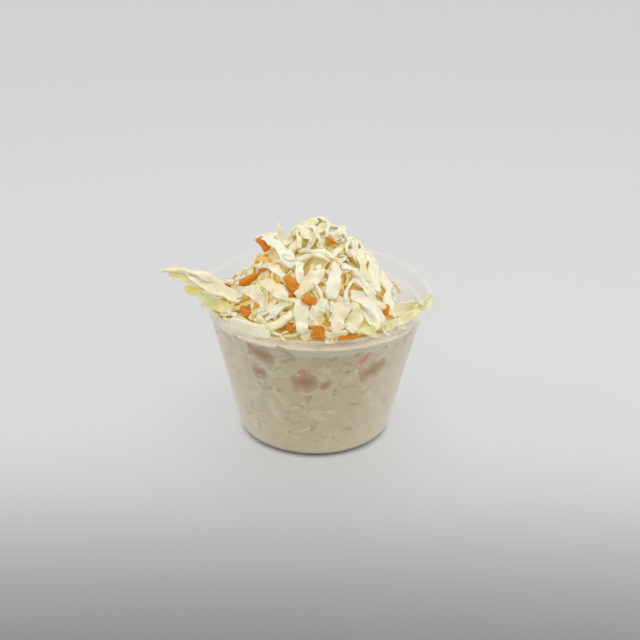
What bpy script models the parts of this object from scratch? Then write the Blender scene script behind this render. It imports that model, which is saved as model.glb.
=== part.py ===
"""Coleslaw heaped in a small clear portion cup.

Metres, +Z up. The origin is the centre of the cup's flat base. The front is -Y, the longest
shreds hang out over the brim at -X, and the heap leaves a hollow inside the brim at the back.
"""

import math

import bmesh
import bpy
import numpy as np

MM = 0.001

# The cup: a thermoformed portion cup that holds about 120 ml
CUP_HEIGHT = 47.0 * MM
BRIM_RADIUS = 37.0 * MM
BASE_RADIUS = 23.8 * MM  # where the wall and the base would meet without their rounded corner
BASE_CORNER = 2.4 * MM
WALL_TOP_RADIUS = 33.5 * MM
WALL_TOP_HEIGHT = 41.0 * MM  # the foot of the small step that nested cups rest on
STEP_OUT = 0.8 * MM
BAND_TOP_RADIUS = 34.8 * MM
BAND_TOP_HEIGHT = 45.0 * MM
BRIM_DROP = 1.3 * MM  # how far the brim's outer edge turns down
WALL = 0.6 * MM
CUP_SEGMENTS = 64

# The heap: a mound that is high in the middle and low against the back of the cup
PEAK_HEIGHT = 63.5 * MM
MOUND_RADIUS = 28.0 * MM
MOUND_FORWARD = 4.8 * MM  # how much wider the mound is to the front than the mean
MOUND_SQUARENESS = 2.2  # how soon, going round from the side, the front is at its full width
MOUND_LEFT = 1.8 * MM
EDGE_HEIGHT = 42.2 * MM
EDGE_FORWARD = 3.2 * MM  # how much higher its edge is at the front than the mean
FILL_HEIGHT = 39.0 * MM  # the contents inside the cup, level at the back
GAP = 0.35 * MM  # kept between the contents and the cup
CORE_DEPTH = 4.2 * MM  # how far the core's peak lies under the mound's surface
CORE_EDGE_DEPTH = 1.2 * MM
FOOT_DEPTH = 3.0 * MM  # how far the core reaches down into the fill
FOOT_SHARE = 0.88  # the core's width down there, as a share of the mound's

# The shreds of cabbage
SHREDS = 44
SHRED_WIDTH = 5.2 * MM
SHRED_THICKNESS = 2.6 * MM
SHRED_LENGTH = 23.0 * MM
SHRED_LIFT = 4.6 * MM  # the most that a lying shred stands over the mound's surface
END_LIFT = 3.0 * MM  # the most that its ends turn up
SHRED_STATIONS = 9
VOXEL = 1.2 * MM
FACES_KEPT = 0.21  # of the faces that the voxels leave
GOLDEN_ANGLE = math.pi * (3.0 - math.sqrt(5.0))

# Shreds that stand out of the heap, each as its tip, its middle and its root in millimetres, and
# its width as a share of SHRED_WIDTH
STANDING_SHREDS = {
    "over_brim_upper": ((-47.5, -1, 54.6), (-36, -5, 51.2), (-20, -11, 51.0), 1.0),
    "over_brim_middle": ((-45.5, -2, 52.2), (-35, -6, 50.2), (-22, -13, 49.5), 0.9),
    "over_brim_lower": ((-41.5, -2.5, 49.2), (-34, -7, 48.9), (-24, -14, 47.0), 0.8),
    "tuft_left": ((-9, -1, 65.0), (-3, -1, 69.2), (3, 1, 69.8), 0.9),
    "tuft_right": ((0, 0, 70.4), (7, 0, 68.0), (12, -1, 62.5), 0.9),
    "spike_back": ((8.4, 1, 69.6), (7, 0, 67.0), (4, -1, 63.0), 0.6),
    "spike_left": ((-12.4, 2, 69.2), (-11, 1, 65.0), (-8, -1, 60.0), 0.6),
    "slant_left": ((-20.3, 2, 64.0), (-13, -5, 62.5), (-6, -12, 58.0), 1.0),
    "shoulder_right": ((11, 0, 65.0), (16.5, -2, 60.5), (21, -6, 53.0), 1.3),
    "slope_right": ((20, 0, 58.0), (22.5, -8, 53.0), (22, -16, 47.0), 1.7),
    "along_brim_right": ((35.8, -1.5, 49.2), (29.6, -11.5, 47.8), (20, -20, 47.0), 1.2),
    "bump_left": ((-31, -9, 48.4), (-21, -13, 51.6), (-13, -19, 48.8), 1.0),
    "leaf_front_left": ((-25.5, -19, 46.0), (-18, -24.5, 47.2), (-9, -27.5, 48.6), 1.2),
    "leaf_front": ((-1.5, -22, 52.0), (4, -26, 49.5), (9, -27.5, 46.5), 1.5),
    "low_front": ((-6, -29.5, 46.0), (1, -30.5, 46.6), (8, -29.5, 45.6), 0.9),
    "sweep_right": ((11, -13, 54.5), (18, -18, 51.0), (19, -25, 46.0), 0.9),
}


def make_material(name, color, roughness, alpha=1.0):
    """A Principled material of one colour."""
    material = bpy.data.materials.new(name)
    material.use_nodes = True
    shader = material.node_tree.nodes["Principled BSDF"]
    shader.inputs["Base Color"].default_value = (*color, 1.0)
    shader.inputs["Roughness"].default_value = roughness
    shader.inputs["Metallic"].default_value = 0.0
    shader.inputs["Alpha"].default_value = alpha
    return material


def add_object(name, mesh, material=None):
    """Link a new object for this mesh, with its material."""
    made = bpy.data.objects.new(name, mesh)
    bpy.context.scene.collection.objects.link(made)
    if material:
        mesh.materials.append(material)
    return made


def as_cutter(guide):
    """Keep an object out of the model: it only shapes another one."""
    guide.hide_render = True
    guide.display_type = "WIRE"
    return guide


def turned(name, profile, material=None):
    """A body of revolution: its (radius, height) profile, spun about Z, outer side downwards."""
    mesh = bpy.data.meshes.new(name)
    points = [(radius, 0.0, height) for radius, height in profile]
    edges = [(i, i + 1) for i in range(len(points) - 1)]
    mesh.from_pydata(points, edges, [])
    made = add_object(name, mesh, material)
    spin = made.modifiers.new("spin", "SCREW")
    spin.steps = CUP_SEGMENTS
    spin.render_steps = CUP_SEGMENTS
    spin.use_merge_vertices = True
    spin.merge_threshold = 0.00001
    return made


def arc(centre, radius, start, end, steps):
    """Points of an arc in the (radius, height) plane, between two angles in degrees."""
    angles = np.radians(np.linspace(start, end, steps))
    return [(centre[0] + radius * math.cos(a), centre[1] + radius * math.sin(a)) for a in angles]


def wall_lean():
    """The angle of the cup's wall from the vertical, in radians."""
    return math.atan2(WALL_TOP_RADIUS - BASE_RADIUS, WALL_TOP_HEIGHT)


def cup_side(inset):
    """The cup's side from its base's centre up to the top of the band, moved in by inset."""
    lean = wall_lean()
    across = inset / math.cos(lean)
    corner = BASE_CORNER - inset
    # the corner's centre touches both the base and the slanted wall
    reach = BASE_CORNER * math.tan((math.pi / 2 - lean) / 2)
    centre = (BASE_RADIUS - reach, BASE_CORNER)
    side = [(0.0, inset)]
    side += arc(centre, corner, -90.0, -math.degrees(lean), 5)
    side += [
        (WALL_TOP_RADIUS - across, WALL_TOP_HEIGHT),
        (WALL_TOP_RADIUS + STEP_OUT - across, WALL_TOP_HEIGHT + STEP_OUT),
        (BAND_TOP_RADIUS - across, BAND_TOP_HEIGHT),
    ]
    return side


def cup_profile(grow=0.0):
    """The whole wall's outline: inside from the centre, over the brim, outside to the centre.

    The brim turns out and then down. With grow, every face lies that much further out, for the
    clearance that the contents keep.
    """
    inside = cup_side(WALL + grow)
    outside = cup_side(-grow)
    under = CUP_HEIGHT - WALL
    brim = [
        (BAND_TOP_RADIUS - WALL - grow + 0.4 * MM, CUP_HEIGHT - 0.5 * MM + grow),
        (BAND_TOP_RADIUS + 0.5 * MM, CUP_HEIGHT + grow),
        (BRIM_RADIUS - 0.5 * MM, CUP_HEIGHT + grow),
        (BRIM_RADIUS + grow, CUP_HEIGHT - 0.5 * MM + grow),
        (BRIM_RADIUS + grow, CUP_HEIGHT - BRIM_DROP - grow),
        (BRIM_RADIUS - WALL - grow, CUP_HEIGHT - BRIM_DROP - grow),
        (BRIM_RADIUS - WALL - grow, under - 0.2 * MM - grow),
        (BAND_TOP_RADIUS + 0.5 * MM + grow, under - 0.3 * MM - grow),
    ]
    return inside + brim + outside[::-1]


def mound_reach(azimuth):
    """How far the mound reaches from the cup's axis."""
    forward = MOUND_FORWARD * np.tanh(-MOUND_SQUARENESS * np.sin(azimuth))
    return MOUND_RADIUS + forward - MOUND_LEFT * np.cos(azimuth)


def mound_height(x, y):
    """The mound's surface: half a cosine wave from its peak down to its edge."""
    azimuth = np.arctan2(y, x)
    share = np.minimum(np.hypot(x, y) / mound_reach(azimuth), 1.0)
    edge = EDGE_HEIGHT - EDGE_FORWARD * np.sin(azimuth)
    return edge + (PEAK_HEIGHT - edge) * (0.5 + 0.5 * np.cos(np.pi * share))


def add_mound_core(form):
    """The closed mass under the shreds: rings of the mound's surface over a flat underside."""
    rings, spokes = 12, 40
    underside = FILL_HEIGHT - FOOT_DEPTH
    azimuths = np.arange(spokes) * 2.0 * np.pi / spokes
    shares = np.linspace(0.0, 1.0, rings + 1)[1:]
    loops = []
    for share in shares:
        x = share * mound_reach(azimuths) * np.cos(azimuths)
        y = share * mound_reach(azimuths) * np.sin(azimuths)
        depth = CORE_DEPTH + (CORE_EDGE_DEPTH - CORE_DEPTH) * share**3
        z = mound_height(x, y) - depth
        loops.append([form.verts.new(point) for point in zip(x, y, z)])
    foot = FOOT_SHARE * mound_reach(azimuths)
    x, y = foot * np.cos(azimuths), foot * np.sin(azimuths)
    loops.append([form.verts.new((a, b, underside)) for a, b in zip(x, y)])
    top = form.verts.new((0.0, 0.0, PEAK_HEIGHT - CORE_DEPTH))
    for i in range(spokes):
        form.faces.new((top, loops[0][i], loops[0][(i + 1) % spokes]))
    for upper, lower in zip(loops, loops[1:]):
        for i in range(spokes):
            j = (i + 1) % spokes
            form.faces.new((upper[i], lower[i], lower[j], upper[j]))
    form.faces.new(loops[-1][::-1])


def add_shred(form, path, width):
    """A flat shred along a path, its broad side facing out of the heap, narrower at its ends."""
    along = np.gradient(path, axis=0)
    along /= np.linalg.norm(along, axis=1, keepdims=True)
    outward = path - np.array([0.0, 0.0, FILL_HEIGHT - 10.0 * MM])
    across = np.cross(along, outward)
    across /= np.linalg.norm(across, axis=1, keepdims=True)
    normal = np.cross(across, along)
    place = np.linspace(-1.0, 1.0, len(path))[:, None]
    half_width = across * (1.0 - 0.45 * place**4) * width / 2
    half_thickness = normal * SHRED_THICKNESS / 2
    corners = (
        path - half_width - half_thickness,
        path + half_width - half_thickness,
        path + half_width + half_thickness,
        path - half_width + half_thickness,
    )
    rings = [[form.verts.new(side[i]) for side in corners] for i in range(len(path))]
    for first, second in zip(rings, rings[1:]):
        for i in range(4):
            j = (i + 1) % 4
            form.faces.new((first[i], first[j], second[j], second[i]))
    form.faces.new(rings[0][::-1])
    form.faces.new(rings[-1])


def bowed_path(tip, middle, root):
    """A smooth path of one bend through three places."""
    share = np.linspace(0.0, 1.0, SHRED_STATIONS)[:, None]
    tip, middle, root = (np.array(place) * MM for place in (tip, middle, root))
    pull = 2.0 * middle - 0.5 * (tip + root)
    return (1 - share) ** 2 * tip + 2 * share * (1 - share) * pull + share**2 * root


def lying_path(number, chance):
    """A path that lies across the mound, with its ends a little raised.

    The middles follow a sunflower spiral, so that they cover the mound evenly.
    """
    azimuth = number * GOLDEN_ANGLE
    azimuth = math.atan2(math.sin(azimuth), math.cos(azimuth))
    radius = 0.9 * mound_reach(azimuth) * math.sqrt((number + 0.5) / SHREDS)
    heading = chance.uniform(0.0, 2.0 * math.pi)
    length = SHRED_LENGTH * chance.uniform(0.7, 1.1)
    run = np.linspace(-0.5, 0.5, SHRED_STATIONS) * length
    x = radius * math.cos(azimuth) + run * math.cos(heading)
    y = radius * math.sin(azimuth) + run * math.sin(heading)
    inside = np.minimum(1.0, 0.96 * mound_reach(np.arctan2(y, x)) / np.hypot(x, y))
    x, y = x * inside, y * inside
    lift = chance.uniform(-0.1, 1.0) * SHRED_LIFT
    lift = lift + chance.uniform(0.0, END_LIFT) * (2 * run / length) ** 2
    return np.stack([x, y, mound_height(x, y) + lift], axis=1)


def make_heap(material):
    """The contents as one solid: the fill inside the cup, the mound and its shreds."""
    form = bmesh.new()
    add_mound_core(form)
    chance = np.random.default_rng(7)
    for number in range(SHREDS):
        add_shred(form, lying_path(number, chance), SHRED_WIDTH * chance.uniform(0.75, 1.25))
    for tip, middle, root, share in STANDING_SHREDS.values():
        add_shred(form, bowed_path(tip, middle, root), SHRED_WIDTH * share)
    bmesh.ops.recalc_face_normals(form, faces=form.faces)
    mesh = bpy.data.meshes.new("mound")
    form.to_mesh(mesh)
    form.free()

    heap = add_object("coleslaw", mesh, material)
    merged = heap.modifiers.new("one_skin", "REMESH")
    merged.mode = "VOXEL"
    merged.voxel_size = VOXEL

    thinned = heap.modifiers.new("fewer_faces", "DECIMATE")
    thinned.ratio = FACES_KEPT

    fill_side = cup_side(WALL + GAP)
    height = FILL_HEIGHT
    slope = (WALL_TOP_RADIUS - BASE_RADIUS) / WALL_TOP_HEIGHT
    edge = fill_side[-3][0] - slope * (WALL_TOP_HEIGHT - height)
    fill_profile = fill_side[:-3] + [(edge, height), (0.0, height)]
    fill = as_cutter(turned("fill", fill_profile[::-1]))
    joined = heap.modifiers.new("join_fill", "BOOLEAN")
    joined.operation = "UNION"
    joined.solver = "EXACT"
    joined.object = fill

    clearance = as_cutter(turned("cup_clearance", cup_profile(GAP)))
    trimmed = heap.modifiers.new("clear_of_cup", "BOOLEAN")
    trimmed.operation = "DIFFERENCE"
    trimmed.solver = "EXACT"
    trimmed.object = clearance
    return heap


def main():
    for old in list(bpy.data.objects):
        bpy.data.objects.remove(old)
    plastic = make_material("clear_plastic", (0.86, 0.86, 0.83), 0.2, alpha=0.35)
    dressed = make_material("dressed_cabbage", (0.84, 0.76, 0.54), 0.4)
    cup = turned("cup", cup_profile(), plastic)
    cup.modifiers["spin"].use_smooth_shade = True
    make_heap(dressed)


main()
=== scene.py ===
"""Coleslaw heaped in a clear portion cup: the looks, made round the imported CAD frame.

Metres, +Z up, the origin at the centre of the cup's base, -Y the front. The sections follow the
way the helping is put together: the cup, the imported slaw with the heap's core, what presses on the
wall, how a shred lies, the shreds and carrot placed one by one, the ones that drop between them,
and last the floor, the light and the camera.
"""

import math

import bpy
import numpy as np
from mathutils import Euler, Matrix, Vector


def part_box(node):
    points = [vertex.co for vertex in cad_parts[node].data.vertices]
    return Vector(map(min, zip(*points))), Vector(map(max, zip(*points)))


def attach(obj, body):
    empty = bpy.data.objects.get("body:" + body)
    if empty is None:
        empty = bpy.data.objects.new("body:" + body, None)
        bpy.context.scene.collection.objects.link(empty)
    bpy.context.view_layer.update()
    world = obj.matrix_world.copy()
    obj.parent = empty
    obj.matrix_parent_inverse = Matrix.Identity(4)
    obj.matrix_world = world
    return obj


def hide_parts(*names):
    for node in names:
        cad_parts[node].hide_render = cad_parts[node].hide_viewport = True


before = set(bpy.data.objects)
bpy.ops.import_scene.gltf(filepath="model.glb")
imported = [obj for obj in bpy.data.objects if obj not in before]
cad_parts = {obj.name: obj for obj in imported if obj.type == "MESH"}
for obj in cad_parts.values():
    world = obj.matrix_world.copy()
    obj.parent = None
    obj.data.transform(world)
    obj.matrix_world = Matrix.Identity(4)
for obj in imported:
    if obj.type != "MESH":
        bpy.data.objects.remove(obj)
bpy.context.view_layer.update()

mm = 0.001

# --- The cup --------------------------------------------------------------------------------
# A thermoformed portion cup: one thin skin of slightly milky polypropylene, drawn over a mould,
# with a raised base, a small stacking step under the brim and a brim curled out and down.

cup_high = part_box("cup")[1]
brim_radius = cup_high.x
cup_height = cup_high.z
skin_thickness = 0.4 * mm
base_radius = 23.3 * mm  # where the base and the wall would meet without their rounding
base_rise = 0.9 * mm
wall_top_radius = brim_radius - 3.7 * mm
wall_top = cup_height - 6.0 * mm
skin_top = cup_height - skin_thickness / 2
lip_radius = brim_radius - skin_thickness / 2
cup_turns = 192


def rounded(corners, radii, steps=6):
    """A path in the (radius, height) plane with each corner replaced by an arc of its radius.

    The arc touches both straight runs at radius x tan(turn / 2) from the corner, and its points
    lie at equal angles round a centre on the corner's bisector.
    """
    path = [corners[:1]]
    for before, corner, after, radius in zip(corners, corners[1:], corners[2:], radii):
        back = (before - corner) / np.linalg.norm(before - corner)
        on = (after - corner) / np.linalg.norm(after - corner)
        half = math.acos(np.clip(back @ on, -1, 1)) / 2
        centre = corner + (back + on) / np.linalg.norm(back + on) * radius / math.sin(half)
        first = corner + back * radius / math.tan(half) - centre
        last = corner + on * radius / math.tan(half) - centre
        share = np.linspace(0, 1, steps)[:, None]
        turn = math.pi - 2 * half
        path.append(centre + (first * np.sin((1 - share) * turn) + last * np.sin(share * turn))
                    / math.sin(turn))
    path.append(corners[-1:])
    return np.concatenate(path)


def thickened(path, thickness):
    """Both sides of a path: each point moved half the thickness along its normal, out and back."""
    along = np.gradient(path, axis=0)
    along /= np.linalg.norm(along, axis=1, keepdims=True)
    normal = np.stack([along[:, 1], -along[:, 0]], axis=1)
    normal[0] = (0, -1)
    return path + normal * thickness / 2, path - normal * thickness / 2


def turned(profile, turns):
    """Rings round the Z axis, one for each (radius, height) point of the profile."""
    angle = np.arange(turns) * 2 * np.pi / turns
    radius, height = profile[:, :1], profile[:, 1:]
    return np.stack([radius * np.cos(angle), radius * np.sin(angle), height + 0 * angle], axis=-1)


def closed_skins(name, rings, first, last, values=None):
    """One mesh of many closed tubes: rings (tube, ring, point, xyz) joined by quads.

    Each tube's ends close on its first and last point with a fan of triangles. Values are named
    numbers for each ring point, kept as point attributes.
    """
    tubes, rows, around = rings.shape[:3]
    body = np.arange(tubes * rows * around).reshape(tubes, rows, around)
    nxt = np.roll(body, -1, axis=2)
    quads = np.stack([body[:, :-1], nxt[:, :-1], nxt[:, 1:], body[:, 1:]], axis=-1)
    poles = tubes * rows * around + np.arange(2 * tubes).reshape(2, tubes, 1)
    start = np.stack([nxt[:, 0], body[:, 0], poles[0] + 0 * body[:, 0]], axis=-1)
    end = np.stack([body[:, -1], nxt[:, -1], poles[1] + 0 * body[:, -1]], axis=-1)
    points = np.concatenate([rings.reshape(-1, 3), first.reshape(-1, 3), last.reshape(-1, 3)])
    faces = quads.reshape(-1, 4).tolist() + start.reshape(-1, 3).tolist()
    faces += end.reshape(-1, 3).tolist()
    mesh = bpy.data.meshes.new(name)
    mesh.from_pydata(points, [], faces)
    mesh.shade_smooth()
    for title, value in (values or {}).items():
        tips = np.concatenate([value[:, 0].mean(axis=-1), value[:, -1].mean(axis=-1)])
        layer = mesh.attributes.new(title, "FLOAT", "POINT")
        layer.data.foreach_set("value", np.concatenate([value.ravel(), tips]).astype(np.float32))
    made = bpy.data.objects.new(name, mesh)
    bpy.context.scene.collection.objects.link(made)
    return made


class Finish:
    """A material under way: its node tree, its Principled shader and short ways to add nodes."""

    def __init__(self, name):
        self.material = bpy.data.materials.new(name)
        self.material.use_nodes = True
        self.tree = self.material.node_tree
        self.shader = self.tree.nodes["Principled BSDF"]
        self.place = self.node("TexCoord").outputs["Object"]

    def set(self, inputs, made=None):
        """Give sockets their values, or link them where the value is another node's output."""
        made = made or self.shader
        for key, value in inputs.items():
            if isinstance(value, bpy.types.NodeSocket):
                self.tree.links.new(value, made.inputs[key])
            else:
                made.inputs[key].default_value = value

    def node(self, kind, inputs=(), **settings):
        """A new node of a kind, with its settings and its inputs."""
        made = self.tree.nodes.new("ShaderNode" + kind)
        for key, value in settings.items():
            setattr(made, key, value)
        self.set(dict(inputs), made)
        return made

    def attribute(self, title):
        """A number kept on the mesh's points."""
        return self.node("Attribute", attribute_name=title).outputs["Fac"]

    def noise(self, scale, detail, place=None):
        """Cloudy noise on the object's own coordinates, so many periods to the metre."""
        settings = {"Vector": place or self.place, "Scale": scale, "Detail": detail}
        return self.node("TexNoise", settings).outputs[0]

    def ramp(self, value, start, end, low=0.0, high=1.0, **settings):
        """A number carried from the range start to end into the range low to high, and held."""
        inputs = {"Value": value, 1: start, 2: end, 3: low, 4: high}
        return self.node("MapRange", inputs, **settings).outputs[0]

    def times(self, value, factor, extra=None):
        """A number times a factor, plus an extra where there is one."""
        if extra is None:
            return self.node("Math", {0: value, 1: factor}, operation="MULTIPLY").outputs[0]
        inputs = {0: value, 1: factor, 2: extra}
        return self.node("Math", inputs, operation="MULTIPLY_ADD").outputs[0]

    def mix(self, share, one, other):
        """One colour going over to another as the share goes from 0 to 1."""
        one, other = (c if isinstance(c, bpy.types.NodeSocket) else (*c, 1) for c in (one, other))
        return self.node("Mix", {0: share, 6: one, 7: other}, data_type="RGBA").outputs[2]

    def bump(self, height, strength, distance):
        """Fine relief in the shader's normal."""
        inputs = {"Height": height, "Strength": strength, "Distance": distance}
        self.set({"Normal": self.node("Bump", inputs).outputs[0]})


# the middle of the skin: radius, height and the radius of the corner's rounding
skin_corners = np.array([
    (0, base_rise, 0),
    # the ring that the cup stands on, and its lower corner
    (18.2 * mm, base_rise, 0.6 * mm),
    (19.2 * mm, skin_thickness / 2, 0.5 * mm),
    (base_radius, skin_thickness / 2, 4.0 * mm),
    # the stacking step and the flared band over it
    (wall_top_radius, wall_top, 0.6 * mm),
    (wall_top_radius + 0.9 * mm, wall_top + 0.8 * mm, 0.5 * mm),
    (wall_top_radius + 1.5 * mm, cup_height - 1.1 * mm, 1.0 * mm),
    # the brim, curled down to its lip
    (brim_radius - 1.9 * mm, skin_top, 0.8 * mm),
    (lip_radius, skin_top, 0.55 * mm),
    (lip_radius, cup_height - 1.5 * mm, 0),
])
skin_path = rounded(skin_corners[:, :2], skin_corners[1:-1, 2])
skin_outside, skin_inside = thickened(skin_path, skin_thickness)
skin_profile = np.concatenate([skin_inside, skin_outside[::-1]])
poles = skin_profile[[0, -1], 1]
cup_rings = turned(skin_profile[1:-1], cup_turns)[None]
cup = closed_skins(
    "portion_cup",
    cup_rings,
    np.array([[0, 0, poles[0]]]),
    np.array([[0, 0, poles[1]]]),
)

plastic = Finish("milky polypropylene")
plastic.set({
    "Base Color": (0.93, 0.93, 0.91, 1),
    "Roughness": 0.28,
    "IOR": 1.49,
    "Coat Weight": 0.2,
    "Coat Roughness": 0.12,
})
drawn = plastic.node("Mapping", {"Vector": plastic.place, "Scale": (1.0, 1.0, 0.25)}).outputs[0]
facing = plastic.node("LayerWeight", {"Blend": 0.28}).outputs["Facing"]
veil = plastic.ramp(facing, 0.0, 1.0, 0.01, 0.66)
hazy_veil = plastic.times(plastic.noise(160.0, 3.0, drawn), 0.05, veil)
height = plastic.node("SeparateXYZ", {"Vector": plastic.place}).outputs["Z"]
clearer_brim = plastic.ramp(height, wall_top, wall_top + mm, 1.0, 0.6)
plastic.set({"Alpha": plastic.times(hazy_veil, clearer_brim)})
plastic.bump(plastic.noise(90.0, 1.0, drawn), 0.05, 0.2 * mm)
cup.data.materials.append(plastic.material)
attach(cup, "root")
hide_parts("cup")

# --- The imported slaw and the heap's core ----------------------------------------------------
# Fine slaw and creamy dressing, packed into the cup so that it wets the wall, and heaped up in
# the middle. Everything else lies on it or is pressed into its side.

peak_height = 64.5 * mm
mound_radius = 28.0 * mm
mound_forward = 4.8 * mm  # how much further it reaches to the front
mound_left = 1.8 * mm  # and to the left
edge_height = 42.2 * mm
edge_forward = 3.2 * mm  # how much higher the edge is in front
edge_right = 5.5 * mm  # how much lower it is to the right and a little behind
core_depth = 3.4 * mm  # how far the core lies under the mound's middle
core_edge_depth = 1.6 * mm  # and under its edge
wetting = 0.12 * mm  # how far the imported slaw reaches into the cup's skin
slaw_rim = 33.0 * mm  # how far from the axis its top meets the wall
foot_height = 3.0 * mm  # up to here its side follows the cup's base and rounded corner
pit_depth = 0.7 * mm


def ripple(points, size, seed, waves=16):
    """Gentle noise: the sum of sine waves of about one length, in random directions."""
    chance = np.random.default_rng(seed)
    heading = chance.normal(size=(3, waves))
    heading *= 2 * np.pi / size * chance.uniform(0.6, 1.3, waves) / np.linalg.norm(heading, axis=0)
    phase = chance.uniform(0, 2 * np.pi, waves)
    return np.sin(points @ heading + phase).sum(axis=-1) * math.sqrt(2 / waves) * 0.5


def mound(x, y):
    """The heap's mean surface, and how far out a place lies as a share of the way to its edge.

    It falls from the peak to the edge as half a cosine wave to the power 0.6, which makes full
    shoulders. It reaches further to the front and the left, and its edge is higher in front and
    lowest on the right.
    """
    azimuth = np.arctan2(y, x)
    reach = mound_radius + mound_forward * np.tanh(-2.2 * np.sin(azimuth))
    share = np.minimum(np.hypot(x, y) / (reach - mound_left * np.cos(azimuth)), 1.0)
    edge = edge_height - edge_forward * np.sin(azimuth)
    edge = edge - edge_right * np.maximum(np.cos(azimuth - np.pi / 5), 0) ** 3
    fall = np.maximum(0.5 + 0.5 * np.cos(np.pi * share), 0) ** 0.6
    return edge + (peak_height - edge) * fall, share


def core_surface(x, y):
    """The core under the lying shreds: deep under the mound's top, shallow at its edge.

    It is the mound less a depth, plus noise in waves of 9 mm and 3.2 mm that fades at the edge.
    """
    height, share = mound(x, y)
    points = np.stack([x, y, 0 * x], axis=-1)
    relief = 1.0 * mm * ripple(points, 9 * mm, 1) + 0.6 * mm * ripple(points, 3.2 * mm, 2)
    depth = core_depth + (core_edge_depth - core_depth) * share**3
    return height - depth + relief * (1 - 0.85 * share**6)


def wall_radius(height):
    """The inside of the cup's skin at a height, read off its path."""
    wall = skin_inside[skin_inside[:, 1] > 2 * mm]
    order = np.argsort(wall[:, 1])
    return np.interp(height, wall[order, 1], wall[order, 0])


core_turns = 240
azimuth = np.arange(core_turns) * 2 * np.pi / core_turns

# the foot lies in the cup's base and corner, the side climbs the wall and the top closes over
foot = skin_inside[(skin_inside[:, 1] < foot_height) & (skin_inside[:, 0] > 0)]
foot_rings = turned(foot + np.array([0.6, -0.6]) * wetting, core_turns)
rim_height = core_surface(slaw_rim * np.cos(azimuth), slaw_rim * np.sin(azimuth))
rise = np.linspace(0, 1, 60)[1:, None]
side_height = foot[-1, 1] + rise * (rim_height - foot[-1, 1])
side_radius = wall_radius(side_height) + wetting
flat_side = [side_radius * np.cos(azimuth), side_radius * np.sin(azimuth), side_height]
pits = ripple(np.stack(flat_side, axis=-1), 3.0 * mm, 3) - 0.8
pits = np.clip(pits, 0, 1) * np.clip(6 * rise, 0, 1)
side_radius = side_radius - pit_depth * pits
pitted_side = [side_radius * np.cos(azimuth), side_radius * np.sin(azimuth), side_height]
side_rings = np.stack(pitted_side, axis=-1)
share = np.linspace(1, 0, 70)[1:-1, None]
top_radius = share * side_radius[-1]
top_x, top_y = top_radius * np.cos(azimuth), top_radius * np.sin(azimuth)
top_rings = np.stack([top_x, top_y, core_surface(top_x, top_y)], axis=-1)
core_rings = np.concatenate([foot_rings, side_rings, top_rings])[None]
pit_value = np.concatenate([np.zeros(foot_rings.shape[:2]), pits, np.zeros(top_x.shape)])[None]
# how deep the core's top lies in the heap, which sets its painted warm light and glow
core_depth_value = np.concatenate([
    np.zeros(foot_rings.shape[:2]),
    np.zeros(pits.shape),
    np.clip(1.6 - mound(top_x, top_y)[1], 0, 1) * np.clip(7 - 7.6 * share, 0, 1),
])[None]
packed = closed_skins(
    "packed_slaw",
    core_rings,
    np.array([[0, 0, foot[0, 1]]]),
    np.array([[0, 0, core_surface(np.zeros(1), np.zeros(1))[0]]]),
    {"pit": pit_value, "depth": core_depth_value},
)

dressing = Finish("creamy dressing")
dressing.set({
    "Specular IOR Level": 0.15,
    "Roughness": 0.38,
    "IOR": 1.45,
    "Subsurface Weight": 0.35,
    "Subsurface Radius": (1.0, 0.75, 0.35),
    "Subsurface Scale": 1.2 * mm,
    "Emission Color": (0.94, 0.74, 0.28, 1),
})
cream = dressing.mix(dressing.noise(110.0, 4.0), (0.56, 0.45, 0.23), (0.74, 0.64, 0.41))
# the pits in the side are painted darker, a painted shade in these small hollows
pitted = dressing.mix(dressing.attribute("pit"), cream, (0.50, 0.43, 0.25))
height = dressing.node("SeparateXYZ", {"Vector": dressing.place}).outputs["Z"]
# the side is made lighter over the band under the brim
at_brim = dressing.ramp(height, wall_top - 1.5 * mm, wall_top)
lighter_at_brim = dressing.mix(at_brim, pitted, (0.78, 0.70, 0.52))
# deeper in the heap the core is painted amber, painted warm light for what comes through the shreds
# above, and it glows faintly as a stand-in for that light
deep = dressing.attribute("depth")
dressing.set({"Base Color": dressing.mix(deep, lighter_at_brim, (0.95, 0.68, 0.17))})
dressing.set({"Emission Strength": dressing.times(deep, 0.05)})
dressing.bump(dressing.noise(620.0, 2.0), 0.5, 0.3 * mm)
packed.data.materials.append(dressing.material)
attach(packed, "root")
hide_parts("coleslaw")

# --- What presses on the wall ---------------------------------------------------------------
# Bits of cabbage and carrot in the dressing lie flat against the cup's wall and show through it
# as cloudy strokes and patches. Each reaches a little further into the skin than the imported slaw,
# and each kind by its own amount, so that where two cross, one lies over the other.

chance = np.random.default_rng(8)
pressed_half = 0.25 * mm  # half the thickness of a pressed strip
highest_pressed = 42.0 * mm


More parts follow.
